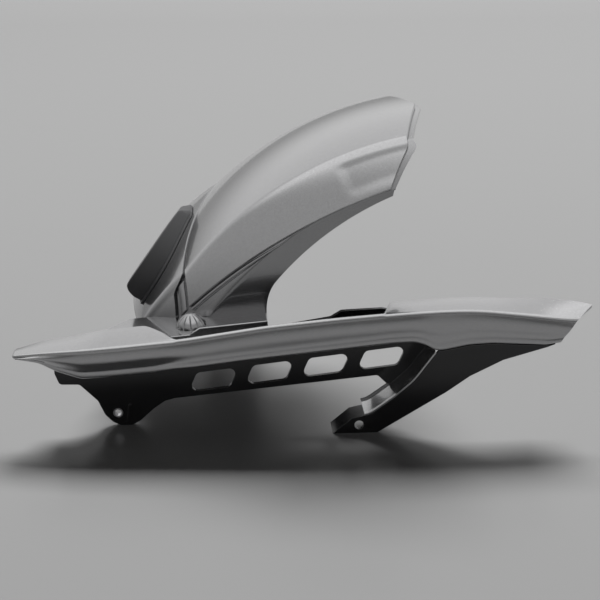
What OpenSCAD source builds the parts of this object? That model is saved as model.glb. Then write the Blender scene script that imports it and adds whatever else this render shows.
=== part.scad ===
// Rear wheel hugger with chain guard for a motorcycle, in millimetres.
// The origin is the centre of the front fixing hole in the chain guard's front tab.
// +X runs to the rear of the machine, +Y to its right-hand side and +Z up.
// The wheel arch is laid out about the wheel spindle: a station is an angle from
// straight up towards the front, and a radius from the spindle.

/* [Wheel] */
// Spindle behind the front fixing hole
axle_x = 333; // [320:1:346]
// Spindle below the front fixing hole
axle_drop = 95; // [88:1:100]
// Lip of the arch's left wall to the front fixing hole
lip_gap = 33; // [30:1:42]

/* [Wheel arch] */
// Radius of the arch's side crease
arch_r = 341; // [334:1:348]
// Rise of the crown above the side creases
crown_h = 8; // [3:0.5:14]
// Width between the side creases
arch_w = 174; // [162:1:180]
// Extra width of each side wall at its lip
flare = 25; // [15:1:28]
// Wall of the arch shell
shell_t = 3; // [2:0.25:4]
// Rear tip of the arch, as an angle
tail_a = 6.4; // [4:0.2:10]
// Sweep of the rear edge, from its tip to the crease
tail_sweep = 3.5; // [1:0.5:5]
// Front edge of the arch, as an angle
front_a = 63.6; // [63:0.2:65]

/* [Crown cover] */
// Thickness of the raised cover
cover_t = 4; // [2.5:0.25:5]
// Strip of the shell that stays open behind the cover
rim = 6; // [4:0.5:9]
// Front edge of the cover at the centre plane, as an angle
cover_a = 47.8; // [44:0.2:49]
// Skew of the cover's front edge, each side of the centre plane
cover_skew = 4.5; // [0:0.25:5]
// Groove between the cover's front edge and the shell's raised front
groove = 1.5; // [0.8:0.1:2.5]
// Swell of the shell's front above the cover's level
swell_h = 10; // [6:0.5:12]

/* [Front block] */
// Width of the block on the front of the arch
block_w = 25; // [16:1:30]
// Height of the block at its upper end
block_rise = 12.5; // [8:0.5:18]
// Height of the block at its lower end
block_h = 21.5; // [16:0.5:26]

/* [Chain guard] */
// Outer face of the guard to its web
guard_w = 32; // [26:1:38]
// Wall of the painted guard cover
guard_t = 3; // [2:0.25:4]
// Width of the tongue's top
tongue_w = 38; // [28:1:42]
// Width of the tail's top
tail_w = 33; // [24:1:40]
// Thickness of the black carrier
web_t = 4; // [3:0.25:6]

/* [Slots] */
// Number of slots in the web
slot_n = 4; // [2:1:4]
// Distance between slots
slot_pitch = 51.5; // [50:0.5:54]
// Length of a slot along the web
slot_len = 38.5; // [30:0.5:40]
// Height of a slot
slot_h = 18; // [12:1:20]
// Lean of a slot's ends
slot_lean = 10; // [4:1:12]
// Radius of a slot's corners
slot_r = 6; // [2:0.5:6.5]

/* [Fixings] */
// Radius of the hole in the front bush
front_r = 3.25; // [2.5:0.25:3.5]
// Wall of the front bush
bush_wall = 1.25; // [1:0.25:1.5]
// Radius of the hole in the rear tab
rear_r = 4.2; // [3.2:0.1:5]
// Radius of the hole in the right-hand leg
leg_r = 4.2; // [3.2:0.1:5]
// Width of the right-hand leg's foot
leg_w = 40; // [30:1:44]
// Radius of the domed cap
cap_r = 14; // [10:0.5:16]
// Height of the domed cap
cap_h = 11; // [7:0.5:14]
// Number of ribs on the cap
cap_ribs = 12; // [8:1:16]
// Clearance between pieces that seat on each other
seat = 0.2; // [0.1:0.05:0.3]

/* [Hidden] */
$fn = 48;

axle_z = -axle_drop;
half_w = arch_w / 2;
centre_y = lip_gap + flare + half_w;
floor_z = -13;
// The shell's outer skin lies under the cover and its seat
shell_drop = cover_t + seat;
// Depth of a side wall over which it flares, and the tilt of its normal
flare_depth = 39;
wall_tilt = 60;
// The wall's lower edge: a gentle line from the tail to a knee
low_r0 = 296;
low_a0 = 14.5;
low_slope = 0.72;
low_break = 42;
low_curve = 0.3;
knee_a = 49.3;
knee = polar(knee_a, 255);
// Ahead of the knee the lower edge is a straight line to the front corner
corner = polar(front_a, arch_r);
skirt_m = (knee[1] - corner[1]) / (knee[0] - corner[0]);

// Near face of the web, and outer face of the guard
web_y = -web_t / 2;
outer_y = web_y - guard_w;
// Flange of the shell that lies on the web's top: it rises to the rear
flange_x = [-13, 139];
flange_z = 67.3;
flange_rise = 5.1;
lip_h = 7;
lip_from = 65;

// Side view of the guard, as stations [x, height]: the crease along its top,
// the lower edge of its painted face, and the rise of its top's inner edge
crease_line = [[-91, 66], [-57, 71], [59, 81], [136, 92], [201, 98], [260, 102],
               [299, 103.5], [327, 103], [379, 96.5], [415, 91]];
skirt_line = [[-91, 61], [-67, 58], [-53, 51], [-30, 44], [-15, 45], [34, 49], [53, 53],
              [112, 60], [194, 68], [250, 73.5], [268, 74], [280, 70], [287, 65],
              [297, 66], [317, 70], [338, 71], [388, 68], [400, 70]];
rise_line = [[-91, -1], [-36, 0], [-8, 4], [32, 4], [55, 0], [283, 0], [336, 1.5],
             [383, 5.5], [415, 11]];
// Width of the guard's top, as a share of the tongue's and of the tail's
tongue_line = [[-91, 0.5], [-64, 0.9], [-36, 1], [27, 1], [45, 0.5], [56, 0.1]];
tail_line = [[240, 0.1], [249, 1], [383, 1], [402, 0.7], [415, 0.35]];
// Width of the rolled edge where the guard has no top
roll = 4.5;
// The tongue's nose draws in, and the tail's end is cut on the slant
nose_in = 12;
nose_len = 110;
end_slant = 15;
slant_from = 350;

// Angle of a length along the arch, in degrees
function arc_of(length) = length / arch_r * 180 / PI;
function polar(a, r) = [axle_x - r * sin(a), axle_z + r * cos(a)];
function mix(a, b, t) = a + (b - a) * t;
function steps(a, b, n) = [for (i = [0 : n]) mix(a, b, i / n)];
function ramp(t) = let (u = min(max(t, 0), 1)) u * u * (3 - 2 * u);

// Value at x of a line through stations [x, value]
function along(table, x) =
    let (last = len(table) - 1)
    x <= table[0][0] ? table[0][1] :
    x >= table[last][0] ? table[last][1] :
    let (i = [for (k = [0 : last - 1]) if (x >= table[k][0] && x < table[k + 1][0]) k][0])
    mix(table[i][1], table[i + 1][1], (x - table[i][0]) / (table[i + 1][0] - table[i][0]));

// Outline with each corner rounded to a radius r, in n steps
function rounded(points, r, n = 5) =
    let (count = len(points))
    [for (i = [0 : count - 1])
        let (p = points[i],
             a = points[(i + count - 1) % count] - p,
             b = points[(i + 1) % count] - p,
             ua = a / norm(a), ub = b / norm(b),
             half = acos(min(max(ua * ub, -1), 1)) / 2)
        each (half > 88 ? [p] :
            let (cut = min(r / tan(half), norm(a) * 0.45, norm(b) * 0.45),
                 rad = cut * tan(half),
                 mid = p + (ua + ub) / norm(ua + ub) * rad / sin(half),
                 from = p + ua * cut - mid, to = p + ub * cut - mid,
                 turn = atan2(from[0] * to[1] - from[1] * to[0], from * to),
                 start = atan2(from[1], from[0]))
            [for (k = [0 : n])
                mid + rad * [cos(start + turn * k / n), sin(start + turn * k / n)]])];

// Faces of a closed sheet between an outer and an inner grid of equal size
function grid_faces(rows, cols) =
    let (n = rows * cols, id = function (i, j, k) k * n + i * cols + j,
         quad = function (a, b, c, d) [[a, b, c], [a, c, d]])
    concat(
        [for (i = [0 : rows - 2], j = [0 : cols - 2]) each concat(
            quad(id(i, j, 0), id(i + 1, j, 0), id(i + 1, j + 1, 0), id(i, j + 1, 0)),
            quad(id(i, j, 1), id(i, j + 1, 1), id(i + 1, j + 1, 1), id(i + 1, j, 1)))],
        [for (i = [0 : rows - 2], j = [0, cols - 1]) each
            let (a = j == 0 ? i : i + 1, b = j == 0 ? i + 1 : i)
            quad(id(a, j, 0), id(a, j, 1), id(b, j, 1), id(b, j, 0))],
        [for (j = [0 : cols - 2], i = [0, rows - 1]) each
            let (a = i == 0 ? j + 1 : j, b = i == 0 ? j : j + 1)
            quad(id(i, a, 0), id(i, a, 1), id(i, b, 1), id(i, b, 0))]);
module sheet(outer, inner) {
    polyhedron(points = concat([for (row = outer) each row], [for (row = inner) each row]),
               faces = grid_faces(len(outer), len(outer[0])));
}
// Plate with a side-view outline, standing from y0 to y1
module side_plate(y0, y1, outline) {
    translate([0, y1, 0]) rotate([90, 0, 0]) linear_extrude(y1 - y0) polygon(outline);
}
// Round hole along Y from y0 to y1
module side_hole(x, z, y0, y1, r) {
    translate([x, y1, z]) rotate([90, 0, 0]) cylinder(r = r, h = y1 - y0);
}

// Lip of the cover and lower edge of the shell's wall, as radii from the spindle
function lip_r(a) = min(arch_r - flare_depth + 0.018 * pow(a - 23.5, 2), arch_r - 2);
function low_r(a) = min(
    a < knee_a
    ? low_r0 - low_slope * (a - low_a0) - low_curve * pow(max(a - low_break, 0), 2)
    : (knee[1] - axle_z + skirt_m * (axle_x - knee[0])) / (cos(a) + skirt_m * sin(a)),
    arch_r - 4);

// A section of the arch runs over s: -1 and 1 are its creases, -2 and 2 the lips of
// the cover, and -3 and 3 the lower edges of the shell
function skin_r(a, s) =
    let (w = abs(s))
    w <= 1 ? arch_r + crown_h * (1 - s * s) :
    w <= 2 ? mix(arch_r, lip_r(a), w - 1) : mix(lip_r(a), low_r(a), w - 2);
function skin_y(r, s) =
    abs(s) <= 1 ? half_w * s :
    sign(s) * (half_w + flare * pow(min(max(arch_r - r, 0) / flare_depth, 1), 0.8));
// Ahead of the cover the skin swells outwards, in a quarter wave down to the lips
swell_a = 14;
function swell_r(a, s) =
    swell_h * sin(90 * min(max(a - shell_step(s), 0) / swell_a, 1)) * min(max(2 - abs(s), 0), 1);
// Point at angle a and place s, at a depth d under the raised skin
function arch_point(a, s, d) =
    let (tilt = wall_tilt * min(max(abs(s) - 0.94, 0) / 0.12, 1),
         r = skin_r(a, s),
         p = polar(a, r - d * cos(tilt) + swell_r(a, s)))
    [p[0], centre_y + skin_y(r, s) - sign(s) * d * sin(tilt), p[1]];
// Rear edge: it sweeps from the tip to the creases, and again down the walls
lip_sweep = 4.6;
low_sweep = 0.8;
function rear_a(s) =
    let (w = abs(s))
    tail_a + tail_sweep * min(w, 1) + lip_sweep * ramp(w - 1) + low_sweep * max(w - 2, 0);
// Front edge of the cover, skewed over its width and swept down the walls
cover_sweep = 3.8;
function cover_front(s) =
    cover_a - cover_skew * min(max(s, -1), 1) + cover_sweep * max(abs(s) - 1, 0);
// Section places on both walls and the crown, closer together at the creases
function places(walls) = concat(
    [for (i = [len(walls) - 1 : -1 : 0]) -walls[i]], steps(-0.94, 0.94, 12), walls);
cover_walls = [1.06, 1.25, 1.5, 1.75, 2];
shell_walls = concat(cover_walls, [2.5, 3]);

// Grid of the arch's points: angles(s) gives each section place its list of angles,
// and depth(i) the depth of row i
function arch_grid(s_list, angles, depth) =
    let (cols = [for (s = s_list) angles(s)])
    [for (i = [0 : len(cols[0]) - 1]) [for (j = [0 : len(s_list) - 1])
        arch_point(cols[j][i], s_list[j], depth(i))]];

// The shell lies under the cover up to a step, ahead of the cover and of the strap,
// where it comes up to the cover's own level
shell_rows = 28;
step_a = 0.3;
function shell_step(s) =
    cover_front(s) + arc_of(groove) + strap_room * min(max(abs(s) - 1.06, 0) / 0.19, 1);
function shell_angles(s) = concat(
    steps(rear_a(s), shell_step(s), shell_rows),
    steps(shell_step(s) + step_a, front_a, 8));
module arch_shell() {
    depth = function (i) i > shell_rows ? 0 : shell_drop;
    angles = function (s) shell_angles(s);
    color("dimgray") {
        sheet(arch_grid(places(shell_walls), angles, depth),
              arch_grid(places(shell_walls), angles, function (i) depth(i) + shell_t));
        shell_strap();
        shell_flange();
        difference() {
            shell_leg();
            side_hole(leg_x, leg_z, leg_y - 1, leg_y + web_t + 1, leg_r);
        }
    }
}

// Raised strap down the left wall, in a groove between the cover and the shell's front
strap_w = 1.5;
strap_h = 2.5;
strap_gap = 0.5;
strap_room = strap_w + 2 * strap_gap;
module shell_strap() {
    wall = [for (i = [4 : -1 : 1]) -cover_walls[i]];
    angles = function (s)
        let (a = cover_front(s) + arc_of(groove) / 2 + strap_gap) steps(a, a + strap_w, 2);
    sheet(arch_grid(wall, angles, function (i) shell_drop - strap_h),
          arch_grid(wall, angles, function (i) shell_drop + shell_t / 2));
}

// Flange from the left wall to the web, with a lip along its outer edge
module shell_flange() {
    outer = [[flange_x[1], web_y], [flange_x[0], web_y]];
    inner = [[flange_x[0], -1], [12, 24], [34, 23], [57, 17], [85, 10], [flange_x[1], 8]];
    plan = concat(outer, [for (p = inner) [p[0], lip_gap + p[1]]]);
    translate([flange_x[0], 0, flange_z]) rotate([0, -flange_rise, 0])
        translate([-flange_x[0], 0, -shell_t]) {
            linear_extrude(shell_t) polygon(plan);
            translate([lip_from, web_y, shell_t / 2])
                cube([flange_x[1] - lip_from, shell_t, lip_h]);
        }
}

// Right-hand leg: it carries on the wall down to the swingarm
leg_x = 122;
leg_z = -1;
leg_y = centre_y + half_w + flare - 7;
module shell_leg() {
    top = [[77, 58], [82, 76], [138, 90], [143, 66]];
    foot = [[leg_x + leg_w / 2, floor_z], [leg_x - leg_w / 2, floor_z]];
    side_plate(leg_y, leg_y + web_t, rounded(concat(top, foot), 5));
    side_plate(leg_y - 12, leg_y + 1,
               [foot[1], foot[1] + [web_t, 0], [81, 60], [77, 60]]);
}

module crown_cover() {
    angles = function (s) steps(rear_a(s) + arc_of(rim), cover_front(s), 32);
    color("gray")
        sheet(arch_grid(places(cover_walls), angles, function (i) 0),
              arch_grid(places(cover_walls), angles, function (i) cover_t));
}

// Block on the raised front of the shell, on a thin foot. It runs askew on a bowed line:
// the foot of its left face goes from block_from to block_to, as angle and section place
block_from = [48.2, 0.27];
block_to = [61.2, -0.67];
block_bow = 2.5;
toe_from = 0.88;
side_fall = 0.3;
foot_w = 4.5;
foot_t = 1.6;
module front_block() {
    bow = function (t) 1 - pow(max(1 - t, 0), block_bow);
    // Point at a share t along the block and u across it, at a height h over its seat
    point = function (t, u, h)
        arch_point(mix(block_from[0], block_to[0], t),
                   mix(block_from[1], block_to[1], bow(t)) + u / half_w, -seat - h);
    // The upper end slopes, the toe is a quarter round, and the top falls to the right
    height = function (t, u)
        mix(block_rise, block_h, bow(t)) * min(0.3 + t / 0.08, 1)
        * sqrt(1 - pow(max(t - toe_from, 0) / (1.01 - toe_from), 2))
        * (1 - side_fall * u / block_w);
    across = function (extra) steps(-extra, block_w + extra, 5);
    along_block = concat(steps(0, toe_from, 16), [0.91, 0.94, 0.97, 0.99, 1]);
    color([0.2, 0.2, 0.21]) {
        sheet([for (t = along_block) [for (u = across(0)) point(t, u, height(t, u))]],
              [for (t = along_block) [for (u = across(0)) point(t, u, 0)]]);
        sheet([for (t = steps(0.01, 1.02, 12)) [for (u = across(foot_w)) point(t, u, foot_t)]],
              [for (t = steps(0.01, 1.02, 12)) [for (u = across(foot_w)) point(t, u, 0)]]);
    }
}

function top_w(x) =
    max(roll, tongue_w * along(tongue_line, x), x > 200 ? tail_w * along(tail_line, x) : 0);
// Section of the guard cover at station x, from the top's inner edge round the
// crease and down the outer face to the edge that meets the web, at a depth t
function guard_section(x, t) =
    let (slant = end_slant * ramp((x - slant_from) / (415 - slant_from)),
         zc = along(crease_line, x),
         zl = along(skirt_line, x - slant),
         d = t * min((zc - zl) / 12, 1),
         y = outer_y + nose_in * pow(1 - min((x + 91) / nose_len, 1), 2),
         w = top_w(x),
         zi = zc + (w > roll ? along(rise_line, x) : 0),
         face = function (v)
             [x - slant * v, y - 1.5 * sin(180 * v) + d,
              mix(zc - 1.5 - 0.9 * d, zl + 1 + 0.9 * d, v)])
    [[x + slant, y + w, zi - d],
     [x + slant * 0.5, y + max(w * 0.55, 2.4 + d * 0.4), mix(zc, zi, 0.5) + 0.4 - d],
     [x + slant * 0.1, y + 1.6 + d * 0.5, zc - d],
     [x, y + 0.4 + d * 0.86, zc - 0.6 - d],
     face(0.06), face(0.35), face(0.65), face(0.94),
     [x - slant, y + 1 + d * 0.86, zl + d],
     [x - slant, mix(y, web_y - seat, 0.5), zl + 0.6 + d],
     [x - slant, web_y - seat, zl + 1 + d]];
function guard_stations() = concat(
    steps(-91, -64, 3), steps(-55, 30, 8), steps(38, 66, 4), steps(76, 240, 11),
    [244.5, 249, 256, 264, 268, 274, 280, 287, 297, 307, 317, 327.5, 338], steps(350, 415, 6));
module guard_cover() {
    stations = guard_stations();
    color("gray")
        sheet([for (x = stations) guard_section(x, 0)],
              [for (x = stations) guard_section(x, guard_t)]);
}
// Front edge of the strut, from its foot to the painted face
strut_front = [[195, floor_z], [212, 1.5], [230, 5.5], [250, 20], [269, 37], [284, 58]];
rear_hole = [219, -5];
module guard_carrier() {
    color([0.09, 0.09, 0.1])
    difference() {
        union() {
            carrier_web();
            carrier_strut();
        }
        side_hole(0, 0, web_y - 1, -web_y + 1, front_r + bush_wall + 0.05);
        side_hole(rear_hole[0], rear_hole[1], outer_y - 1, outer_y + web_t + 1, rear_r);
        for (i = [0 : slot_n - 1]) slot(i);
    }
}

// The web's outline: nose and top edge, raised lug, then the strut and the tab
module carrier_web() {
    flange_top = function (x)
        flange_z + (x - flange_x[0]) * tan(flange_rise) - shell_t / cos(flange_rise) - seat;
    top = [[-56, 40], [-56, 58], [-48, 62], [flange_x[0], 64],
           [flange_x[0] + 0.5, flange_top(flange_x[0])], [flange_x[1], flange_top(flange_x[1])],
           [flange_x[1] + 0.5, 79], [195, 88], [205, 94], [242, 95.5], [250, 94],
           [254, 88], [268, 87], [290, 78]];
    strut = [[286, 58], [271, 36], [252, 20], [247, 22]];
    below = [[239, 30], [52, 12.5], [43, 10], [33, 3], [20, -9], [13, -12.9], [12, floor_z],
             [2, floor_z], [-5, -9.5], [-12, -2], [-18, 12], [-34, 28.5], [-52, 29]];
    side_plate(web_y, -web_y, rounded(concat(top, strut, below), 4, 4));
    // Bead beside the front hole
    side_plate(web_y - 1.2, web_y + 1, rounded([[8, -11], [11, -11], [12.5, 8], [9.5, 8]], 1.4));
}

module carrier_strut() {
    seam = [for (x = [290, 297, 307, 317, 338, 362, 388, 396]) [x, along(skirt_line, x) - seat]];
    under = [[389, 66.5], [349, 55], [319, 40], [298, 25], [236, floor_z]];
    side_plate(outer_y, outer_y + web_t, concat(strut_front, seam, under));
    // Return of the strut along its front edge: shallow at the tab, then to the web
    inner = [for (i = [len(strut_front) - 1 : -1 : 0])
        [strut_front[i][0] + 4, max(strut_front[i][1] - 1.6, floor_z)]];
    side_plate(outer_y, outer_y + 25, concat(strut_front, inner));
    side_plate(outer_y, -web_y,
               concat([for (i = [2 : 5]) strut_front[i]], [for (i = [0 : 3]) inner[i]]));
}

// Slot i through the web: leaning ends and rounded corners, in line with the web
slot_x0 = 88;
slot_z0 = 29.8;
slot_rise = 6.3;
module slot(i) {
    x = slot_x0 + slot_pitch * i;
    z = slot_z0 + slot_pitch * i * tan(slot_rise);
    half = slot_h / 2;
    outline = [[-slot_len / 2 - slot_lean / 2, -half], [slot_len / 2 - slot_lean / 2, -half],
               [slot_len / 2 + slot_lean / 2, half], [-slot_len / 2 + slot_lean / 2, half]];
    translate([x, 0, z]) rotate([0, -slot_rise, 0])
        side_plate(web_y - 2, -web_y + 2, rounded(outline, slot_r));
}

// Steel sleeve in the front hole
bush_len = web_t + 2;
module front_bush() {
    color("silver")
    difference() {
        side_hole(0, 0, -bush_len / 2, bush_len / 2, front_r + bush_wall);
        side_hole(0, 0, -bush_len / 2 - 1, bush_len / 2 + 1, front_r);
    }
}

// Ribbed cap over the fixing on the shell's flange
cap_x = 69;
cap_y = lip_gap - 10.5;
rib_w = 1.4;
rib_h = 0.8;
module domed_cap() {
    ball = (cap_r * cap_r + cap_h * cap_h) / (2 * cap_h);
    color("dimgray")
    translate([flange_x[0], 0, flange_z]) rotate([0, -flange_rise, 0])
    translate([cap_x - flange_x[0], cap_y, seat])
    intersection() {
        cylinder(r = cap_r, h = cap_h + rib_h);
        union() {
            translate([0, 0, cap_h - ball]) sphere(r = ball);
            intersection() {
                translate([0, 0, cap_h - ball]) sphere(r = ball + rib_h);
                for (k = [0 : cap_ribs - 1]) rotate([0, 0, 360 * k / cap_ribs])
                    translate([cap_r * 0.2, -rib_w / 2, 0]) cube([cap_r, rib_w, cap_h + rib_h]);
            }
        }
    }
}

arch_shell();
crown_cover();
front_block();
guard_cover();
guard_carrier();
front_bush();
domed_cap();
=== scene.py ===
"""Rear wheel hugger with chain guard: the finished surfaces, light and camera.
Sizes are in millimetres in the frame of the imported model, and meshes in metres."""

import math

import bmesh
import bpy
import numpy as np
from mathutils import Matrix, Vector


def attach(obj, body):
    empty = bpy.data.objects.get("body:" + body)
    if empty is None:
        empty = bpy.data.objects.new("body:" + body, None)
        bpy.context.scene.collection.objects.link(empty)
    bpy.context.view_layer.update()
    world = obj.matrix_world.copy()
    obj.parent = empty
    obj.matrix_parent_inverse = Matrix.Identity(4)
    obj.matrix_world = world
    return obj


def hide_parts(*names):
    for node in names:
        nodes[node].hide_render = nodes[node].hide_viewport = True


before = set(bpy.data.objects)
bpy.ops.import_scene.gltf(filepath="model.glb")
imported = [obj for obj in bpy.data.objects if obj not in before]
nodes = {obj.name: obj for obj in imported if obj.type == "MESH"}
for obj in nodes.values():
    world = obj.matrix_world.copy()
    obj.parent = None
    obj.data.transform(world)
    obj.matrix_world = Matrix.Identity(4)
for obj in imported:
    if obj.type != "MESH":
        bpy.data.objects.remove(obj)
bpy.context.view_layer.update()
scene = bpy.context.scene
scene.view_settings.view_transform = "Standard"

# Camera. A long lens stands low over the left side, so the guard runs across the
# whole picture and the arch rises behind it.
view_centre = Vector((0.177, 0.136, 0.0552))
view_distance = 1.5
view_azimuth = math.radians(-4)
view_elevation = math.radians(20)
view_back = Vector((
    math.sin(view_azimuth) * math.cos(view_elevation),
    -math.cos(view_azimuth) * math.cos(view_elevation),
    math.sin(view_elevation),
))
camera_data = bpy.data.cameras.new("camera")
camera_data.sensor_width = 36
camera_data.lens = 90
camera = bpy.data.objects.new("camera", camera_data)
camera.location = view_centre + view_distance * view_back
camera.rotation_euler = view_back.to_track_quat("Z", "Y").to_euler()
scene.collection.objects.link(camera)
scene.camera = camera

# Floor. A plain grey table top with a soft sheen, at the height of the feet. It is wide
# enough to fill the picture. Its grey is painted deeper from the front to the back:
# painted light and shade that evens out how the softbox lights the table.
floor_z = -0.013
floor_half = 12
floor_shade_span = (-0.6, 2.2)
floor_painted_greys = (0.5, 0.33)


def new_material(name, **sockets):
    """A material of one Principled shader, with constants set on its own sockets."""
    material = bpy.data.materials.new(name)
    material.use_nodes = True
    shader = material.node_tree.nodes["Principled BSDF"]
    for socket, value in sockets.items():
        shader.inputs[socket.replace("_", " ")].default_value = value
    return material, material.node_tree, shader


def map_range(tree, source, start, end, low, high):
    """A node that turns values from start to end into values from low to high."""
    node = tree.nodes.new("ShaderNodeMapRange")
    for socket, value in zip(("From Min", "From Max", "To Min", "To Max"), (start, end, low, high)):
        node.inputs[socket].default_value = value
    tree.links.new(source, node.inputs["Value"])
    return node


floor_material, floor_tree, floor_shader = new_material(
    "table_top", Roughness=0.25, Specular_IOR_Level=0.12)
floor_place = floor_tree.nodes.new("ShaderNodeTexCoord")
floor_split = floor_tree.nodes.new("ShaderNodeSeparateXYZ")
floor_tree.links.new(floor_place.outputs["Object"], floor_split.inputs[0])
# Painted light and shade: the table's grey runs from pale at the front to darker at the back.
floor_painted_tone = map_range(floor_tree, floor_split.outputs["Y"], *floor_shade_span, *floor_painted_greys)
floor_tree.links.new(floor_painted_tone.outputs["Result"], floor_shader.inputs["Base Color"])
floor_mesh = bpy.data.meshes.new("floor")
floor_mesh.from_pydata(
    [(x * floor_half, y * floor_half, floor_z) for x, y in ((-1, -1), (1, -1), (1, 1), (-1, 1))],
    [], [(0, 1, 2, 3)])
floor_mesh.materials.append(floor_material)
floor = bpy.data.objects.new("floor", floor_mesh)
scene.collection.objects.link(floor)

# Light. One wide softbox hangs high behind the part and throws its shadow to the front.
# The room that gloss mirrors is dark low down and paler higher up, brighter behind than
# in front, and has a bright ceiling. It hardly lights matt faces, so the shadow is deep.
softbox_place = Vector((1.2, 5.5, 6.1))
softbox_aim = Vector((0.16, 0.1, 0.05))
softbox_size = (3.7, 2.6)
softbox_watts = 740
matt_light = 0.03
front_to_back = (-0.35, 0.45)
front_height = (-0.1, 0.45)
front_room = (0.05, 0.6)
back_height = (0.0, 0.35)
back_room = (0.3, 0.85)
ceiling_height = (0.62, 0.85)
ceiling_room = 1.4

world = bpy.data.worlds.new("room")
world.use_nodes = True
world.cycles.sampling_method = "NONE"
scene.world = world
room = world.node_tree
room_glow = room.nodes["Background"]
room_glow.inputs["Color"].default_value = (1, 1, 1, 1)
room_way = room.nodes.new("ShaderNodeTexCoord")
room_split = room.nodes.new("ShaderNodeSeparateXYZ")
room.links.new(room_way.outputs["Generated"], room_split.inputs[0])


def room_range(axis, start, end, low, high):
    """Smooth step of one part of the direction, from a low to a high value."""
    node = map_range(room, room_split.outputs[axis], start, end, low, high)
    node.interpolation_type = "SMOOTHSTEP"
    return node.outputs["Result"]


def room_mix(share, low, high):
    """Mixes two strengths by a share from 0 to 1."""
    node = room.nodes.new("ShaderNodeMix")
    room.links.new(share, node.inputs["Factor"])
    for socket, value in zip(node.inputs[2:4], (low, high)):
        if isinstance(value, float):
            socket.default_value = value
        else:
            room.links.new(value, socket)
    return node.outputs["Result"]


room_walls = room_mix(room_range("Y", *front_to_back, 0, 1),
                      room_range("Z", *front_height, *front_room),
                      room_range("Z", *back_height, *back_room))
room_seen = room_mix(room_range("Z", *ceiling_height, 0, 1), room_walls, ceiling_room)
room_rays = room.nodes.new("ShaderNodeLightPath")
room_gloss = room.nodes.new("ShaderNodeMath")
room_gloss.operation = "MAXIMUM"
room.links.new(room_rays.outputs["Is Camera Ray"], room_gloss.inputs[0])
room.links.new(room_rays.outputs["Is Glossy Ray"], room_gloss.inputs[1])
room.links.new(room_mix(room_gloss.outputs["Value"], matt_light, room_seen),
               room_glow.inputs["Strength"])

softbox = bpy.data.lights.new("softbox", "AREA")
softbox.shape = "RECTANGLE"
softbox.size, softbox.size_y = softbox_size
softbox.energy = softbox_watts
softbox_holder = bpy.data.objects.new("softbox", softbox)
softbox_holder.location = softbox_place
softbox_holder.visible_glossy = False
softbox_holder.rotation_euler = (softbox_place - softbox_aim).to_track_quat("Z", "Y").to_euler()
scene.collection.objects.link(softbox_holder)

# Arch shell. One plastic moulding in gunmetal lacquer: the wheel arch with its
# side walls. Its grey is painted darker than the cover's, as painted shade for its recessed
# walls. Its front swells out ahead of the crown cover that is screwed onto it.
# Names in _a are degrees forward from the axle's top, and names in _s are places across:
# 1 at the right crease, 2 at its lip, 3 at its lower edge, and less than 0 on the left.
MM = 0.001
axle = (333, -95)
centre_y = 145
arch_r = 341
crown_h = 8
half_w = 87
flare = 25
flare_depth = 39
flare_power = 0.8
shell_t = 3
cover_t = 4
seat = 0.2
lip_a = 23.5
lip_bend = 0.018
low_r = 296
low_a = 14.5
low_slope = 0.72
low_bend = 0.3
low_bend_a = 42
knee_a = 49.3
knee_r = 255
low_gap = 4
tail_a = 6.4
tail_sweep = 3.5
crease_notch = 0.5
crease_s = 1.2
wall_sweep = 5.1
low_sweep = 0.8
cover_a = 47.8
cover_askew = 4.5
cover_sweep = 3.8
front_a = 63.6
swell_h = 10
swell_a = 14
step_a = 0.3
groove_w = 1.5
groove_a = math.degrees(groove_w / arch_r)
strap_room = 2.5
strap_room_s = (1.03, 1.13)
crease_rounds = 4
wall_h = 46
section_pitch = 1.5
merge_mm = 0.001
round_from_a = 50
# Painted shade: the shell's grey is set darker than the cover's, for the shade on its recessed
# walls.
shell_painted_shade_grey = (0.3, 0.3, 0.305)


def ramp(x, start, end):
    """Smooth step from 0 at start to 1 at end: 3t^2 - 2t^3 of the share t of the way."""
    t = np.clip((x - start) / (end - start), 0, 1)
    return t * t * (3 - 2 * t)


def lip_radius(a):
    """Radius of the wall's lip: a parabola of the angle, least at the lip's own angle."""
    return arch_r - flare_depth + lip_bend * (a - lip_a) ** 2


def low_radius(a):
    """Radius of the wall's lower edge: falls gently to a knee, and ahead of it runs
    straight to the front corner."""
    knee, corner = [
        (axle[0] - r * math.sin(math.radians(turn)), axle[1] + r * math.cos(math.radians(turn)))
        for r, turn in ((knee_r, knee_a), (arch_r, front_a))]
    slope = (knee[1] - corner[1]) / (knee[0] - corner[0])
    gentle = low_r - low_slope * (a - low_a) - low_bend * np.maximum(a - low_bend_a, 0) ** 2
    straight = (knee[1] - axle[1] + slope * (axle[0] - knee[0])) / (
        np.cos(np.radians(a)) + slope * np.sin(np.radians(a)))
    return np.minimum(np.where(a < knee_a, gentle, straight), arch_r - low_gap)


def rear_angle(s):
    """Rear edge: sweeps forward from the tip to the creases, and again down the walls."""
    w = np.abs(s)
    return (tail_a + tail_sweep * np.minimum(w, 1)
            - crease_notch * ramp(w, 1, crease_s)
            + wall_sweep * np.clip((w - crease_s) / (2 - crease_s), 0, 1)
            + low_sweep * np.maximum(w - 2, 0))


def cover_front(s):
    """Front edge of the cover: askew over the crown, and swept down the walls."""
    return cover_a - cover_askew * np.clip(s, -1, 1) + cover_sweep * np.maximum(np.abs(s) - 1, 0)


def shell_step(s):
    """Where the shell comes up to the cover's level, ahead of the cover and strap."""
    return cover_front(s) + groove_a + strap_room * np.interp(np.abs(s), strap_room_s, (0, 1))


def swelling(angles, s):
    """Height of the shell's swollen front: a quarter of a sine wave, then level."""
    return swell_h * np.sin(np.radians(90 * np.clip((angles - shell_step(s)) / swell_a, 0, 1)))


def soften(grid, times):
    """Rounds the creases: each point becomes 1/4, 1/2, 1/4 of itself and its two
    neighbours along the section, some times over, with the end points held."""
    for _ in range(times):
        grid[:, 1:-1] = 0.25 * grid[:, :-2] + 0.5 * grid[:, 1:-1] + 0.25 * grid[:, 2:]
    return grid


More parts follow.
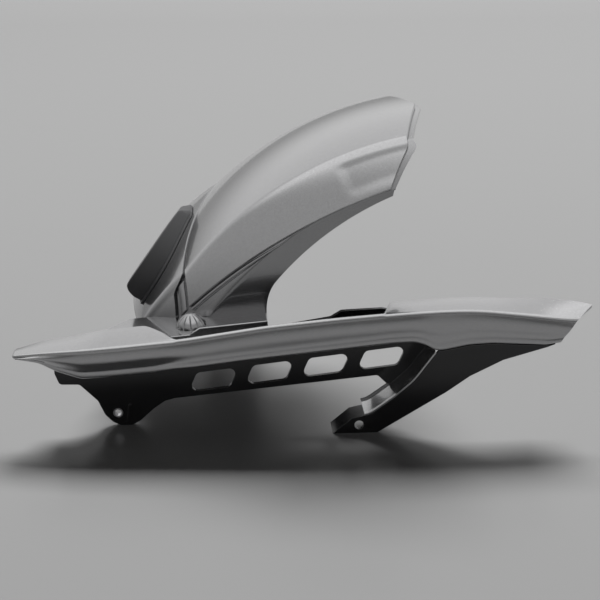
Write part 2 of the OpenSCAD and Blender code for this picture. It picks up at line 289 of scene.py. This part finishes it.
def arch_skin(angles, s):
    """Outer skin of the arch. Its section is a low parabola between the creases and
    a wall outside them that flares as a power of its depth. The front swells."""
    w = np.abs(s)
    lip, low = lip_radius(angles), low_radius(angles)
    r = np.where(w <= 1, arch_r + crown_h * (1 - s * s),
                 np.where(w <= 2, arch_r + (lip - arch_r) * (w - 1), lip + (low - lip) * (w - 2)))
    out = flare * np.clip((arch_r - r) / flare_depth, 0, 1) ** flare_power
    y = np.where(w <= 1, half_w * s, np.sign(s) * (half_w + out))
    r = r + swelling(angles, s) * np.clip(2 - w, 0, 1)
    a = np.radians(angles)
    grid = np.stack([axle[0] - r * np.sin(a), centre_y + y, axle[1] + r * np.cos(a)], axis=-1)
    return soften(grid, crease_rounds)


def grid_normals(grid):
    """Unit normals of a grid: the cross product of its two differences."""
    across = np.cross(np.gradient(grid, axis=0), np.gradient(grid, axis=1))
    return across / np.linalg.norm(across, axis=-1, keepdims=True)


def arch_normals(grid):
    """Normals that point away from the wheel."""
    normal = grid_normals(grid)
    away = grid - np.array([axle[0], centre_y, axle[1]])
    return normal * np.sign((normal * away).sum(-1).mean())


def section_places(edge):
    """Places s across the arch out to an edge, about a pitch apart in millimetres."""
    crown = np.linspace(-1, 1, int(2 * half_w / section_pitch))
    wall = np.linspace(1, edge, int((edge - 1) * wall_h / section_pitch))[1:]
    return np.concatenate([-wall[::-1], crown, wall])


def sheet_faces(rows, cols):
    """Quads of a closed sheet: two grids of points, and the rim that joins them."""
    i = np.arange(rows * cols).reshape(rows, cols)
    skin = np.stack([i[:-1, :-1], i[1:, :-1], i[1:, 1:], i[:-1, 1:]], axis=-1).reshape(-1, 4)
    rim = np.concatenate([i[0], i[1:, -1], i[-1, -2::-1], i[-2:0:-1, 0]])
    ahead = np.roll(rim, -1)
    n = rows * cols
    sides = np.stack([rim, ahead, ahead + n, rim + n], axis=-1)
    return np.concatenate([skin, skin[:, ::-1] + n, sides])


def add_piece(name, points, faces, material, node, round_mm=0.0, crease=35):
    """Makes a mesh object of points in millimetres. Doubles are merged, faces turned
    outwards, edges sharper than the crease angle kept, and then rounded."""
    mesh = bpy.data.meshes.new(name)
    mesh.from_pydata(points.reshape(-1, 3) * MM, [], list(faces))
    work = bmesh.new()
    work.from_mesh(mesh)
    bmesh.ops.remove_doubles(work, verts=work.verts, dist=merge_mm * MM)
    bmesh.ops.dissolve_degenerate(work, dist=merge_mm * MM / 10, edges=work.edges)
    bmesh.ops.recalc_face_normals(work, faces=work.faces)
    work.to_mesh(mesh)
    work.free()
    mesh.shade_smooth()
    mesh.set_sharp_from_angle(angle=math.radians(crease))
    mesh.materials.append(material)
    piece = bpy.data.objects.new(name, mesh)
    scene.collection.objects.link(piece)
    if round_mm:
        bevel = piece.modifiers.new("edge_rounding", "BEVEL")
        bevel.width = round_mm * MM
        bevel.segments = 2
        bevel.limit_method = "ANGLE"
        bevel.angle_limit = math.radians(round_from_a)
        bevel.harden_normals = False
    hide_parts(node)
    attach(piece, "root")


def object_texture(tree, kind, scale):
    """A texture node that reads the piece's own Object coordinates."""
    place = tree.nodes.new("ShaderNodeTexCoord")
    texture = tree.nodes.new(kind)
    texture.inputs["Scale"].default_value = scale
    tree.links.new(place.outputs["Object"], texture.inputs["Vector"])
    return texture


def add_relief(tree, shader, texture, strength, depth):
    """Raises the surface by a noise texture, to a depth in metres."""
    bump = tree.nodes.new("ShaderNodeBump")
    bump.inputs["Strength"].default_value = strength
    bump.inputs["Distance"].default_value = depth
    tree.links.new(texture.outputs["Fac"], bump.inputs["Height"])
    tree.links.new(bump.outputs["Normal"], shader.inputs["Normal"])


def lacquer(name, colour, rough):
    """Metallic lacquer on moulded plastic: fine flake in the colour, slow cloudy
    changes in gloss, and a faint orange peel under a clear coat."""
    material, tree, shader = new_material(
        name, Metallic=0.85, Coat_Weight=1.0, Coat_Roughness=0.045, Coat_IOR=1.5)
    flake = object_texture(tree, "ShaderNodeTexVoronoi", 2600)
    tone = map_range(tree, flake.outputs["Color"], 0, 1, 0.84, 1.16)
    paint = tree.nodes.new("ShaderNodeMixRGB")
    paint.blend_type = "MULTIPLY"
    paint.inputs["Fac"].default_value = 1
    paint.inputs["Color1"].default_value = (*colour, 1)
    tree.links.new(tone.outputs["Result"], paint.inputs["Color2"])
    tree.links.new(paint.outputs["Color"], shader.inputs["Base Color"])
    cloud = object_texture(tree, "ShaderNodeTexNoise", 14)
    cloud.inputs["Detail"].default_value = 3
    haze = map_range(tree, cloud.outputs["Fac"], 0, 1, rough - 0.04, rough + 0.05)
    tree.links.new(haze.outputs["Result"], shader.inputs["Roughness"])
    peel = object_texture(tree, "ShaderNodeTexNoise", 420)
    peel.inputs["Detail"].default_value = 1
    add_relief(tree, shader, peel, 0.02, 0.0004)
    return material


shell_paint = lacquer("gunmetal_shell", shell_painted_shade_grey, 0.2)
shell_s = section_places(3)
shell_rear = rear_angle(shell_s)
shell_top = shell_step(shell_s)
shell_rows = np.concatenate([
    shell_rear + (shell_top - shell_rear) * np.linspace(0, 1, 124)[:, None],
    shell_top + step_a + (front_a - shell_top - step_a) * np.linspace(0, 1, 30)[:, None]])
shell_skin = arch_skin(shell_rows, shell_s)
shell_out = arch_normals(shell_skin)
shell_depth = np.where(shell_rows > shell_top + step_a / 2, 0, cover_t + seat)[..., None]
shell_points = np.concatenate([
    shell_skin - shell_out * shell_depth, shell_skin - shell_out * (shell_depth + shell_t)])
add_piece("arch_shell_skin", shell_points, sheet_faces(*shell_rows.shape), shell_paint,
          "arch_shell", round_mm=0.6)

# Strap. A low raised bar moulded with the shell down its left wall, in the groove
# between the crown cover and the swollen front.
strap_a = 1.5
strap_gap_a = 0.5
strap_h = 3.4
strap_crown = 1.2
strap_root = 1
strap_ends_s = (-2, -1.12)
strap_s = np.linspace(*strap_ends_s, 30)
strap_from = cover_front(strap_s) + groove_a / 2 + strap_gap_a
strap_rows = strap_from + strap_a * np.linspace(0, 1, 9)[:, None]
strap_skin = arch_skin(strap_rows, strap_s)
strap_out = arch_normals(strap_skin)
strap_fall = strap_crown * (1 - np.sin(np.linspace(0.12, 0.88, 9) * math.pi))[:, None, None]
strap_points = np.concatenate([
    strap_skin - strap_out * (cover_t + seat - strap_h + strap_fall),
    strap_skin - strap_out * (cover_t + seat + strap_root)])
add_piece("arch_shell_strap", strap_points, sheet_faces(*strap_rows.shape), shell_paint,
          "arch_shell", round_mm=0.5)

# Bead. A half-round moulding on the shell runs under the left lip of the cover. It is
# fullest near the strap and dies out half way up the wall.
bead_a = (31, 56)
bead_full_a = 47
bead_r = 2.3
bead_tip_r = 0.05
bead_below = 2.6
bead_proud = 0.3


def tube_faces(rows, cols, ends):
    """Quads of a tube, whose last column of points lies on its first, and a flat face
    across each of the named end rows."""
    i = np.arange(rows * cols).reshape(rows, cols)
    skin = np.stack([i[:-1, :-1], i[1:, :-1], i[1:, 1:], i[:-1, 1:]], axis=-1).reshape(-1, 4)
    return list(skin) + [i[row, :-1] for row in ends]


bead_angles = np.linspace(*bead_a, 70)[:, None]
bead_s = -2 - bead_below / (lip_radius(bead_angles) - low_radius(bead_angles))
bead_strip = arch_skin(bead_angles, bead_s + np.array([-0.02, 0, 0.02]))
bead_out = arch_normals(bead_strip)[:, 1]
bead_line = bead_strip[:, 1] - bead_out * (cover_t + seat - bead_proud)
bead_along = np.gradient(bead_line, axis=0)
bead_along /= np.linalg.norm(bead_along, axis=1, keepdims=True)
bead_side = np.cross(bead_along, bead_out)
bead_turn = np.linspace(0, 2 * math.pi, 19)[None, :, None]
bead_size = (bead_r * ramp(bead_angles, bead_a[0], bead_full_a) + bead_tip_r)[..., None]
bead_grid = bead_line[:, None] + bead_size * (
    np.cos(bead_turn) * bead_out[:, None] + np.sin(bead_turn) * bead_side[:, None])
add_piece("arch_shell_bead", bead_grid, tube_faces(*bead_grid.shape[:2], (0, -1)), shell_paint,
          "arch_shell")

# Flange. The foot of the shell turns out flat over the web's top and carries a low
# lip along its outer edge. It is moulded with the shell.
near_lip = centre_y - half_w - flare
web_t = 4
web_y = -web_t / 2
flange_x = (-13, 139)
flange_z = 67.3
flange_rise = math.radians(5.1)
lip_from = 65
lip_slope = 12
lip_h = 7


def on_flange(points):
    """Turns points [x, y, height over the flange] up by the flange's rise."""
    x = points[:, 0] - flange_x[0]
    return np.stack([
        flange_x[0] + x * math.cos(flange_rise) - points[:, 2] * math.sin(flange_rise),
        points[:, 1],
        flange_z + x * math.sin(flange_rise) + points[:, 2] * math.cos(flange_rise)], axis=-1)


def slab(outline, low, high):
    """Points and faces of a flat slab with a plan outline between two heights."""
    count = len(outline)
    plan = np.array(outline, float)
    points = np.concatenate([np.column_stack([plan, np.full(count, z)]) for z in (high, low)])
    ring = np.arange(count)
    sides = [(k, (k + 1) % count, (k + 1) % count + count, k + count) for k in ring]
    return points, [ring, ring[::-1] + count] + sides


flange_plan = [(flange_x[1], web_y), (flange_x[0], web_y), (flange_x[0], near_lip - 1),
               (12, near_lip + 24), (34, near_lip + 23), (57, near_lip + 17),
               (85, near_lip + 10), (flange_x[1], near_lip + 8)]
flange_points, flange_faces = slab(flange_plan, -shell_t, 0)
add_piece("arch_shell_flange", on_flange(flange_points), flange_faces, shell_paint,
          "arch_shell", round_mm=0.6)
lip_plan = [(lip_from, web_y), (flange_x[1], web_y), (flange_x[1], web_y + shell_t),
            (lip_from, web_y + shell_t)]
lip_points, lip_faces = slab(lip_plan, -shell_t / 2, lip_h - shell_t / 2)
lip_points[(lip_points[:, 0] == lip_from) & (lip_points[:, 2] > 0), 0] += lip_slope
add_piece("arch_shell_lip", on_flange(lip_points), lip_faces, shell_paint,
          "arch_shell", round_mm=0.8)

# Right-hand leg. The shell's far wall carries on down to the swingarm as a flat leg
# with one bolt hole and a return along its front edge. It is moulded with the shell.
# Rings of points run from the hole to the outline, which each way from the hole meets at
# the offset of a side divided by the way's part square to that side.
leg_hole = np.array([122.0, -1.0])
leg_hole_r = 4.2
leg_in = 7
leg_y = centre_y + half_w + flare - leg_in
leg_steps = 144
return_w = 12
leg_outline = np.array([[77, 58], [82, 76], [138, 90], [143, 66], [142, -13], [102, -13]], float)
leg_angles = np.sort(np.concatenate([
    np.linspace(-math.pi, math.pi, leg_steps + 1)[:-1],
    np.arctan2(*(leg_outline - leg_hole).T[::-1])]))
leg_way = np.stack([np.cos(leg_angles), np.sin(leg_angles)], axis=-1)
leg_edge = np.roll(leg_outline, -1, axis=0) - leg_outline
leg_square = np.stack([-leg_edge[:, 1], leg_edge[:, 0]], axis=-1)
leg_facing = leg_way @ leg_square.T
leg_reach = ((leg_outline - leg_hole) * leg_square).sum(-1) / np.where(
    np.abs(leg_facing) < 1e-9, 1e-9, leg_facing)
leg_reach = np.where(leg_reach > 0, leg_reach, np.inf).min(axis=1)
leg_share = np.linspace(0, 1, 4)[:, None]
leg_radius = leg_hole_r + (leg_reach - leg_hole_r) * leg_share
leg_face = leg_hole + leg_way * leg_radius[..., None]
leg_sides = [np.stack([leg_face[..., 0], np.full(leg_radius.shape, y), leg_face[..., 1]], axis=-1)
             for y in (leg_y + web_t, leg_y)]
leg_ring = [np.concatenate([side, side[:, :1]], axis=1) for side in leg_sides]
add_piece("arch_shell_leg", np.concatenate(leg_ring), sheet_faces(*leg_ring[0].shape[:2]),
          shell_paint, "arch_shell", round_mm=0.6)
return_side = np.array([(102, -13), (106, -13), (81, 60), (77, 60)], float)
return_points, return_faces = slab(return_side, leg_y - return_w, leg_y + 1)
add_piece("arch_shell_leg_return", return_points[:, [0, 2, 1]], return_faces,
          shell_paint, "arch_shell", round_mm=0.6)

# Crown cover. A raised outer shell in gunmetal lacquer, paler than the shell's painted
# shade, screwed onto the arch from inside. A strip of the arch shows along its rear edge,
# and each of its side walls has a shallow recess at the rear.
recess_a = (23.3, 20.9)
recess_s = (1.1, 1.27)
recess_low_s = (1.97, 1.67)
recess_depth = 0.8
rim = 5
rim_swell = 3.4
panel_pale = (0.4, 0.4, 0.405)
panel_paint = lacquer("gunmetal_panel", panel_pale, 0.17)
cover_s = section_places(2)
rim_w = rim + rim_swell * np.interp(np.abs(cover_s), [1, crease_s, 2], [0, 1, 0])
cover_rear = rear_angle(cover_s) + np.degrees(rim_w / arch_r)
cover_rows = cover_rear + (cover_front(cover_s) - cover_rear) * np.linspace(0, 1, 150)[:, None]
cover_skin = arch_skin(cover_rows, cover_s)
cover_out = arch_normals(cover_skin)
cover_w = np.abs(cover_s)
recess = (recess_depth * ramp(cover_rows, *recess_a) * ramp(cover_w, *recess_s)
          * ramp(cover_w, *recess_low_s))[..., None]
cover_points = np.concatenate([
    cover_skin - cover_out * recess, cover_skin - cover_out * cover_t])
add_piece("crown_cover_skin", cover_points, sheet_faces(*cover_rows.shape), panel_paint,
          "crown_cover", round_mm=0.9)

# Front block. A block of satin dark plastic, moulded with a thin foot, sits askew on the
# swollen front of the shell. Its upper end slopes and its toe is rounded.
block_from = (48.2, 0.27)
block_to = (61.2, -0.67)
block_bow = 2.5
block_w = 25
block_rise = 12.5
block_h = 21.5
heel_to = 0.08
heel_share = 0.3
toe_from = 0.88
toe_end = 1.01
side_fall = 0.3


def satin(name, colour, rough, grain):
    """Plain moulded plastic: a fine spark-eroded grain and cloudy roughness."""
    material, tree, shader = new_material(name, Base_Color=(*colour, 1), IOR=1.5)
    cloud = object_texture(tree, "ShaderNodeTexNoise", 30)
    cloud.inputs["Detail"].default_value = 4
    haze = map_range(tree, cloud.outputs["Fac"], 0, 1, rough - 0.05, rough + 0.07)
    tree.links.new(haze.outputs["Result"], shader.inputs["Roughness"])
    pits = object_texture(tree, "ShaderNodeTexNoise", 1400)
    add_relief(tree, shader, pits, grain, 0.0003)
    return material


def block_grid(t, u, height):
    """Block's points at shares t along and places u across, on the swollen skin. It
    runs on a bowed line, whose share of the way across is 1 less a power of 1 - t."""
    bow = 1 - np.maximum(1 - t, 0) ** block_bow
    angles = block_from[0] + (block_to[0] - block_from[0]) * t
    s = block_from[1] + (block_to[1] - block_from[1]) * bow + u / half_w
    r = arch_r + crown_h * (1 - s * s) + swelling(angles, s) + seat + height
    a = np.radians(angles)
    return np.stack([axle[0] - r * np.sin(a), centre_y + half_w * s,
                     axle[1] + r * np.cos(a)], axis=-1)


block_plastic = satin("dark_satin_plastic", (0.075, 0.075, 0.078), 0.4, 0.12)
block_t = np.concatenate([
    np.linspace(0, heel_to, 6), np.linspace(heel_to + 0.02, toe_from, 40),
    1 - (1 - toe_from) * np.cos(np.linspace(0, 0.5, 16)[1:] * math.pi)])[:, None]
block_u = np.linspace(0, block_w, 14)[None, :]
block_bowed = 1 - np.maximum(1 - block_t, 0) ** block_bow
block_height = ((block_rise + (block_h - block_rise) * block_bowed)
                * np.minimum(heel_share + block_t / heel_to, 1)
                * np.sqrt(1 - (np.maximum(block_t - toe_from, 0) / (toe_end - toe_from)) ** 2)
                * (1 - side_fall * block_u / block_w))
block_points = np.concatenate([block_grid(block_t, block_u, block_height),
                               block_grid(block_t, block_u, 0.0)])
add_piece("front_block_body", block_points, sheet_faces(*block_height.shape), block_plastic,
          "front_block", round_mm=1.4)
foot_w = 4.5
foot_t = 1.6
foot_grid_t = np.linspace(0.01, 1.02, 40)[:, None]
foot_grid_u = np.linspace(-foot_w, block_w + foot_w, 16)[None, :]
foot_points = np.concatenate([
    block_grid(foot_grid_t, foot_grid_u, foot_t), block_grid(foot_grid_t, foot_grid_u, 0.0)])
foot_shape = (foot_grid_t.size, foot_grid_u.size)
add_piece("front_block_foot", foot_points, sheet_faces(*foot_shape), block_plastic,
          "front_block", round_mm=0.4)

# Chain guard. A long moulded cover in the paler lacquer, seated over the black carrier,
# with an open channel behind: a broad tongue ahead of the arch, a narrow rolled edge
# beside it, and a broad tail cut off on the slant.
guard_t = 3
guard_depth = 32
outer_y = web_y - guard_depth
tongue_w = 38
tail_w = 33
roll = 4.5
nose_in = 12
nose_len = 110
nose_depth = 3
tail_from_x = 200
rise_blend = 8
top_bow = 0.5
top_cut = 3.2
skirt_cut = 2.2
face_set = 1.2
face_bulge = (1.3, 2.3)
bulge_to = 0.8
face_lip = 1.2
face_lip_from = 0.62
face_tuck = 5
face_tuck_x = (25, 75)
skirt_rise = 1
thin_ratio = 4.2
guard_ends = (-91, 415)
end_slant = 15
slant_from = 350
crease_line = [(-91, 66), (-57, 71), (59, 81), (136, 92), (201, 98), (260, 102), (299, 103.5),
               (327, 103), (379, 96.5), (415, 91)]
skirt_line = [(-91, 61), (-67, 58), (-53, 51), (-30, 44), (-15, 45), (34, 49), (53, 53),
              (112, 60), (194, 68), (250, 73.5), (268, 74), (280, 70), (287, 65), (297, 66),
              (317, 70), (338, 71), (388, 68), (400, 70)]
rise_line = [(-91, -1), (-36, 0), (-8, 4), (32, 4), (55, 0), (283, 0), (336, 1.5), (383, 5.5),
             (415, 11)]
tongue_line = [(-91, 0.5), (-64, 0.9), (-36, 1), (27, 1), (45, 0.5), (56, 0.1)]
tail_line = [(240, 0.1), (249, 1), (383, 1), (402, 0.7), (415, 0.35)]


def flowing(line, x, window):
    """Value at x of a line through stations, averaged over a window with weights of a
    raised cosine. The window closes towards the ends, so they stay in place."""
    places, values = np.array(line, float).T
    reach = np.minimum(window, np.maximum(np.minimum(x - places[0], places[-1] - x), 0))
    shares = np.linspace(-1, 1, 17)
    weights = 1 + np.cos(shares * math.pi)
    spread = np.interp(x[..., None] + reach[..., None] * shares, places, values)
    return (spread * weights).sum(-1) / weights.sum()


def rounded_corner(before, corner, after, cut, count):
    """Arc over a corner: the curve (1-t)^2 P + 2t(1-t) C + t^2 Q between two points
    that lie a cut away on its two sides, or 0.45 of a side where that is shorter."""
    sides = []
    for other in (before, after):
        way = other - corner
        length = np.linalg.norm(way, axis=-1, keepdims=True)
        sides.append(corner + way / length * np.minimum(cut, 0.45 * length))
    t = np.linspace(0, 1, count)[:, None, None]
    return (1 - t) ** 2 * sides[0] + 2 * t * (1 - t) * corner + t * t * sides[1]


guard_x = np.concatenate([
    np.linspace(guard_ends[0] + nose_depth, 30, 80), np.linspace(31.5, 75, 30),
    np.linspace(77, 236, 60), np.linspace(237, 258, 22), np.linspace(260, guard_ends[1], 84)])
slant = end_slant * ramp(guard_x, slant_from, guard_ends[1])
crease_z = flowing(crease_line, guard_x, 26)
skirt_z = flowing(skirt_line, guard_x - slant, 7)
guard_y = outer_y + nose_in * (1 - np.minimum((guard_x - guard_ends[0]) / nose_len, 1)) ** 2
top_w = np.maximum(tongue_w * flowing(tongue_line, guard_x, 6),
                   np.where(guard_x > tail_from_x, tail_w * flowing(tail_line, guard_x, 3), 0))
top_w = np.maximum(top_w, roll)
top_rise = flowing(rise_line, guard_x, 9) * ramp(top_w, roll, roll + rise_blend)
corner_a = np.stack([guard_x + slant, guard_y + top_w, crease_z + top_rise], axis=-1)
corner_b = np.stack([guard_x, guard_y + face_set, crease_z], axis=-1)
face_fade = 1 - ramp(guard_x, *face_tuck_x)
corner_c = np.stack([guard_x - slant, guard_y + face_set - face_lip + face_tuck * face_fade,
                     skirt_z], axis=-1)
corner_d = np.stack([guard_x - slant, np.full(guard_x.shape, web_y - seat),
                     skirt_z + skirt_rise], axis=-1)
top_arc = rounded_corner(corner_a, corner_b, corner_c, top_cut, 9)
low_arc = rounded_corner(corner_b, corner_c, corner_d, skirt_cut, 7)
top_share = np.linspace(0, 1, 12)[:-1, None, None]
face_share = np.linspace(0, 1, 22)[1:-1, None, None]
under_share = np.linspace(0, 1, 9)[1:, None, None]
top_flat = corner_a + (top_arc[0] - corner_a) * top_share
top_flat[..., 2] += top_bow * np.sin(math.pi * top_share[..., 0])
face_flat = top_arc[-1] + (low_arc[0] - top_arc[-1]) * face_share
face_place = face_share[..., 0]
face_flat[..., 1] += face_lip * (face_place - ramp(face_place, face_lip_from, 1))
face_flat[..., 1] -= (face_bulge[0] + (face_bulge[1] - face_bulge[0]) * face_fade) * np.sin(
    math.pi * np.minimum(face_place / bulge_to, 1))
under_flat = low_arc[-1] + (corner_d - low_arc[-1]) * under_share
guard_grid = np.concatenate([top_flat, top_arc, face_flat, low_arc, under_flat]).swapaxes(0, 1)
guard_out = grid_normals(guard_grid)
face_middle = len(top_flat) + len(top_arc) + len(face_flat) // 2
guard_out *= -np.sign(guard_out[:, face_middle, 1].mean())
# The wall thins where the face is low, and the inner skin ends flush with the tail.
guard_wall = np.minimum(guard_t, (crease_z - skirt_z) / thin_ratio)[:, None, None]
guard_inner = guard_grid - guard_out * guard_wall
guard_points = np.concatenate([guard_grid, guard_inner])
guard_points[..., 0] = np.minimum(guard_points[..., 0], guard_ends[1] + end_slant)
add_piece("guard_cover_skin", guard_points, sheet_faces(*guard_grid.shape[:2]), panel_paint,
          "guard_cover", round_mm=0.5)

# Nose cap. The tongue's nose is closed: its section draws in to a blunt rounded end.
# It is moulded with the guard.
nose_turn = np.linspace(0, math.pi / 2, 9)
nose_ring = guard_grid[0]
nose_mid = nose_ring.mean(axis=0)
nose_rows = nose_mid + (nose_ring - nose_mid) * np.cos(nose_turn)[:, None, None]
nose_rows[..., 0] = nose_ring[:, 0] - nose_depth * np.sin(nose_turn)[:, None]
nose_rows = np.concatenate([nose_rows, nose_rows[:, :1]], axis=1)
add_piece("guard_cover_nose", nose_rows, tube_faces(*nose_rows.shape[:2], (0,)), panel_paint,
          "guard_cover")

# Guard carrier. One gloss black moulding: the slotted web with the front tab, and the
# strut with the rear tab. Its edges are rounded by the mould.
black_plastic = satin("gloss_black_plastic", (0.012, 0.012, 0.0135), 0.16, 0.03)


def smoothed_copy(name, node, material, round_mm):
    """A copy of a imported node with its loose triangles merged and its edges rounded."""
    work = bmesh.new()
    work.from_mesh(nodes[node].data)
    bmesh.ops.remove_doubles(work, verts=work.verts, dist=2 * merge_mm * MM)
    bmesh.ops.dissolve_limit(work, angle_limit=math.radians(1), verts=work.verts,
                             edges=work.edges)
    points = np.array([vertex.co[:] for vertex in work.verts]) / MM
    faces = [[vertex.index for vertex in face.verts] for face in work.faces]
    work.free()
    add_piece(name, points, faces, material, node, round_mm=round_mm, crease=30)


smoothed_copy("guard_carrier_body", "guard_carrier", black_plastic, 0.7)

# Strut channel. The strut's front is a shallow trough, sprayed with the guard's lacquer
# and rimmed on both sides, from the rear tab up to the painted face.
channel_line = [(223, 3.8), (230, 5.5), (250, 20), (269, 37), (284, 58), (290, 66)]
channel_ends = (224, 288)
channel_in = 0.2
channel_y = (outer_y + channel_in, web_t / 2 - channel_in)
channel_root = 0.02
channel_skin = 0.35
channel_rim = 1.2
rim_share = 0.16
channel_x = np.linspace(*channel_ends, 60)[:, None]
channel_z = flowing(channel_line, channel_x[:, 0], 7)[:, None]
channel_way = np.gradient(np.concatenate([channel_x, channel_z], axis=1), axis=0)
channel_way /= np.linalg.norm(channel_way, axis=1, keepdims=True)
channel_u = np.linspace(0, 1, 36)[None, :]
channel_hollow = ramp(channel_u, 0, rim_share) * ramp(channel_u, 1, 1 - rim_share)


def channel_sheet(lift):
    """Points at a lift over the strut's front line, square to it."""
    return np.stack(np.broadcast_arrays(
        channel_x - channel_way[:, 1:] * lift,
        channel_y[0] + (channel_y[1] - channel_y[0]) * channel_u,
        channel_z + channel_way[:, :1] * lift), axis=-1)


channel_points = np.concatenate([
    channel_sheet(channel_skin + channel_rim * (1 - channel_hollow)), channel_sheet(channel_root)])
add_piece("guard_carrier_channel", channel_points, sheet_faces(channel_x.size, channel_u.size),
          panel_paint, "guard_carrier", round_mm=0.3)

# Front bush. A turned steel sleeve pushed into the front tab, with its bore open. The
# bolt clamps on it and not on the plastic.
steel, steel_tree, steel_shader = new_material(
    "turned_steel", Base_Color=(0.58, 0.58, 0.59, 1), Metallic=1.0)
steel_rings = object_texture(steel_tree, "ShaderNodeTexWave", 900)
steel_rings.wave_type = "RINGS"
steel_rings.rings_direction = "Y"
steel_haze = map_range(steel_tree, steel_rings.outputs["Fac"], 0, 1, 0.22, 0.38)
steel_tree.links.new(steel_haze.outputs["Result"], steel_shader.inputs["Roughness"])
front_bush = nodes["front_bush"]
front_bush.data.materials.clear()
front_bush.data.materials.append(steel)

# Domed cap. A moulded cap in the shell's lacquer sits on the flange over a fixing, with
# deep grooves between its petals.
cap_x = 69
cap_aside = 10.5
cap_y = near_lip - cap_aside
cap_r = 14
cap_h = 11
cap_petals = 12
petal_rise = 0.6
groove_depth = 1.6
groove_share = 0.22
groove_from = (0.16, 0.36)
cap_edge = 0.05
cap_turn = np.linspace(0, 2 * math.pi, 193)[None, :]
cap_share = np.linspace(0, 1, 26)[:, None]
cap_ball = (cap_r ** 2 + cap_h ** 2) / (2 * cap_h)
cap_reach = cap_r * np.sin(cap_share * math.pi / 2)
cap_rise = np.sqrt(cap_ball ** 2 - cap_reach ** 2) - cap_ball + cap_h
cap_groove = np.exp(-(np.sin(cap_petals * cap_turn / 2) / groove_share) ** 2) * ramp(
    cap_share, *groove_from)
cap_rise = np.maximum(
    cap_rise + petal_rise * (1 - cap_share) - groove_depth * cap_groove, cap_edge)
cap_skin = np.stack([cap_x + cap_reach * np.cos(cap_turn), cap_y + cap_reach * np.sin(cap_turn),
                     seat + cap_rise], axis=-1)
cap_foot = cap_skin.copy()
cap_foot[..., 2] = seat
cap_grid = on_flange(np.concatenate([cap_skin, cap_foot]).reshape(-1, 3))
add_piece("domed_cap_body", cap_grid, sheet_faces(*cap_rise.shape), shell_paint,
          "domed_cap")
